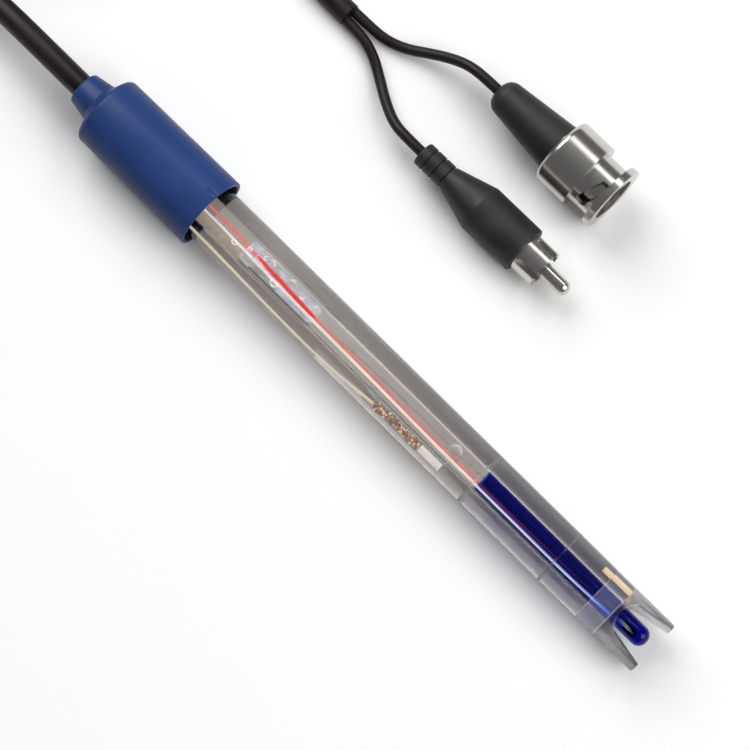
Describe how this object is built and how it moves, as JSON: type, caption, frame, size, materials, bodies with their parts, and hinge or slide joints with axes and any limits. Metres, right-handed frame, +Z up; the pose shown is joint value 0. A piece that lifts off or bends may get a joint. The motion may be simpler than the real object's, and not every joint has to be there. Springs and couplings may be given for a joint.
{
  "type": "ph electrode",
  "caption": "Combined pH electrode with a clear plastic shaft, guarded glass bulb, built-in temperature sensor and a coiled cable that forks to a bayonet plug and a phono plug.",
  "frame": {"origin": "on the bench, under the middle of the electrode without its cable", "axes": "+X along the electrode towards its bulb, +Z up from the bench"},
  "size_m": [0.2527, 0.0867, 0.0163],
  "materials": {
    "blue_plastic": "moulded, semi-gloss",
    "clear_plastic": "clear, polished",
    "clear_glass": "clear, polished",
    "clear_sleeve": "clear tubing",
    "blue_buffer": "dark blue liquid",
    "clear_gel": "clear gel",
    "hazy_glue": "hazy cured glue",
    "dark_resin": "potting resin",
    "bung_rubber": "moulded",
    "grey_insulation": "extruded",
    "silver_wire": "bare wire",
    "red_insulation": "enamel",
    "white_insulation": "enamel",
    "sensor_resin": "coated bead",
    "silver_chloride": "granules",
    "white_wool": "packed fibre",
    "cream_ceramic": "porous ceramic",
    "cable_jacket": "matt jacket",
    "boot_plastic": "moulded",
    "nickel": "nickel plated",
    "gold": "gold plated",
    "white_insulator": "moulded",
    "gasket_rubber": "moulded"
  },
  "bodies": {
    "electrode": {"head_cap": "blue_plastic", "cable_tail": "cable_jacket", "head_resin": "dark_resin", "shaft_bung": "bung_rubber", "shaft_tube": "clear_plastic", "end_plug": "clear_plastic", "glass_stem": "clear_glass", "buffer_solution": "blue_buffer", "stem_gel": "clear_gel", "seal_glue": "hazy_glue", "stem_sleeve": "clear_sleeve", "core_sleeve": "grey_insulation", "inner_wire": "silver_wire", "red_lead": "red_insulation", "white_lead": "white_insulation", "sensor_bead": "sensor_resin", "reference_wire": "silver_wire", "reference_capillary": "clear_glass", "chloride_fill": "silver_chloride", "wool_plug": "white_wool", "ceramic_junction": "cream_ceramic", "electrolyte_gel": "clear_gel", "cable_out": "cable_jacket", "cable_coil": "cable_jacket", "cable_return": "cable_jacket", "lead_bayonet": "cable_jacket", "lead_phono": "cable_jacket", "bayonet_boot": "boot_plastic", "bayonet_body": "nickel", "bayonet_insulator": "white_insulator", "bayonet_pin": "gold", "bayonet_gasket": "gasket_rubber", "bayonet_spring": "nickel", "phono_shell": "boot_plastic", "phono_ring": "nickel", "phono_insulator": "white_insulator", "phono_pin": "nickel"},
    "nut": {"bayonet_nut": "nickel"}
  },
  "joints": [
    {"name": "nut_turn", "type": "hinge", "parent": "electrode", "child": "nut", "pos_m": [0.004, 0.0577, 0.00725], "axis": [1, 0, 0], "continuous": true}
  ]
}
